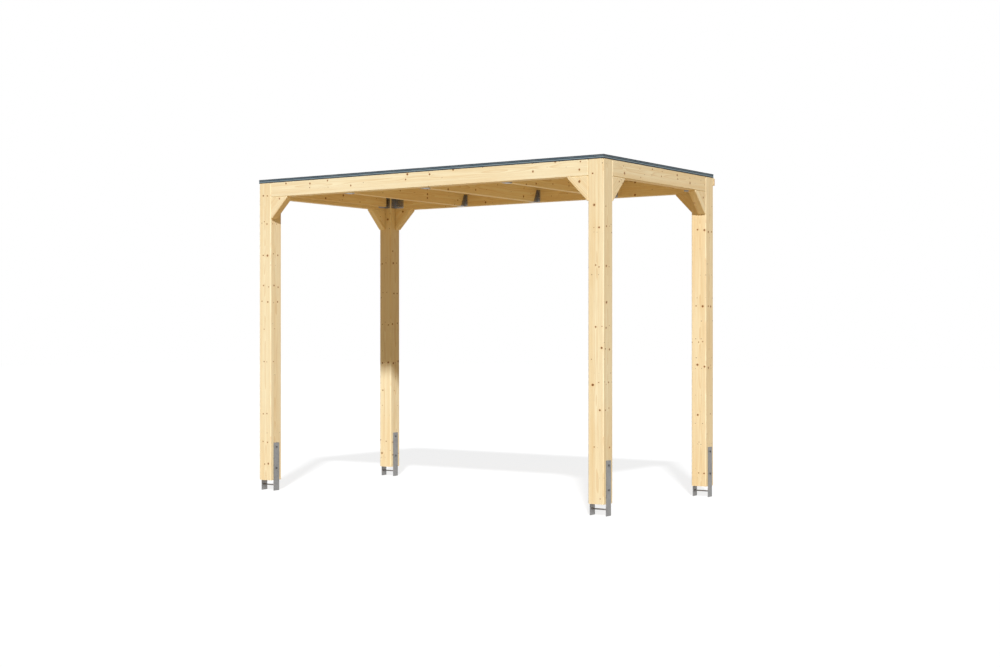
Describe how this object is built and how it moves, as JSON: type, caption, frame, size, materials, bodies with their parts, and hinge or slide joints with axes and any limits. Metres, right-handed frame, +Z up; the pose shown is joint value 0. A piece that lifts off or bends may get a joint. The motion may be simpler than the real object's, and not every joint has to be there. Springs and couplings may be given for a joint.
{
  "type": "garden pavilion",
  "caption": "Open timber garden pavilion with square posts on steel anchors, gusseted beams and a flat boarded roof.",
  "frame": {"origin": "on the ground, in the middle of the footprint", "axes": "+Z up, +X along the long side to the right seen from the front, +Y from the front to the back"},
  "size_m": [3.121, 1.6296, 2.404],
  "materials": {
    "spruce": "planed and untreated, fine grain with small knots",
    "roof_boards": "planed tongue and groove boards",
    "roof_sheet": "dull dark sheet",
    "edge_trim": "satin anthracite",
    "zinc_steel": "dull hot-dip zinc",
    "zinc_sheet": "bright zinc sheet",
    "screws": "dark zinc"
  },
  "bodies": {
    "root": {"post_front_left": "spruce", "post_front_right": "spruce", "post_back_left": "spruce", "post_back_right": "spruce", "beam_front": "spruce", "beam_back": "spruce", "beam_left": "spruce", "beam_right": "spruce", "gusset_front_left": "spruce", "gusset_front_right": "spruce", "gusset_back_left": "spruce", "gusset_back_right": "spruce", "gusset_left_front": "spruce", "gusset_left_back": "spruce", "gusset_right_front": "spruce", "gusset_right_back": "spruce", "rafter_left": "spruce", "rafter_middle": "spruce", "rafter_right": "spruce", "batten_left": "spruce", "batten_right": "spruce", "batten_back": "spruce", "roof_deck": "roof_boards", "roof_membrane": "roof_sheet", "trim_front": "edge_trim", "trim_back": "edge_trim", "trim_left": "edge_trim", "trim_right": "edge_trim", "anchor_front_left": "zinc_steel", "anchor_front_right": "zinc_steel", "anchor_back_left": "zinc_steel", "anchor_back_right": "zinc_steel", "screws_front_left": "screws", "screws_front_right": "screws", "screws_back_left": "screws", "screws_back_right": "screws", "hangers_front": "zinc_sheet", "hangers_back": "zinc_sheet", "brackets_front_left": "zinc_sheet", "brackets_front_right": "zinc_sheet", "brackets_back_left": "zinc_sheet", "brackets_back_right": "zinc_sheet"}
  },
  "joints": []
}
